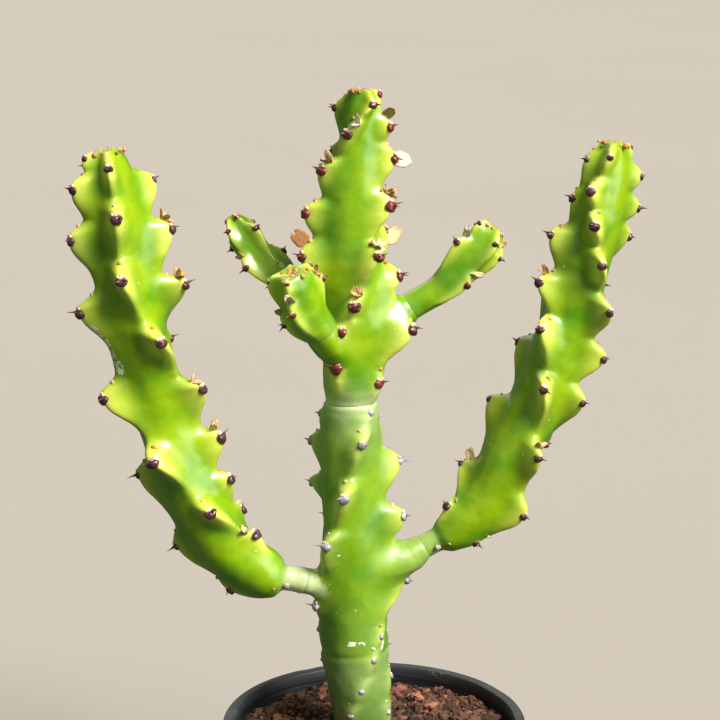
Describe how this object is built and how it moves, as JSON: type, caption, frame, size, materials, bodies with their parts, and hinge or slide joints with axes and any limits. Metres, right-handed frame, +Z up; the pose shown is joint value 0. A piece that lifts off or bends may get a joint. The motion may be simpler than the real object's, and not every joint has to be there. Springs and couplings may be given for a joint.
{
  "type": "potted euphorbia",
  "caption": "Candelabra-shaped succulent with wavy four-ribbed stems, dark-capped tubercles and short spines, standing in soil in a black plastic nursery pot.",
  "frame": {"origin": "centre of the pot's flat underside", "axes": "+Z up along the trunk, +X towards the right-hand arm, +Y to the back of the plant"},
  "size_m": [0.2688, 0.145, 0.4212],
  "materials": {
    "young_stem": "satin",
    "old_stem": "satin",
    "horn_cap": "satin",
    "spine": "satin",
    "bud": "matte",
    "dried_leaf": "matte",
    "soil_mix": "matte",
    "pot_plastic": "matte"
  },
  "bodies": {
    "root": {"pot": "pot_plastic", "soil": "soil_mix", "trunk": "old_stem", "crown": "young_stem", "left_arm": "young_stem", "right_arm": "young_stem", "crown_branch_back_left": "young_stem", "crown_branch_front_left": "young_stem", "crown_branch_right": "young_stem"}
  },
  "joints": []
}
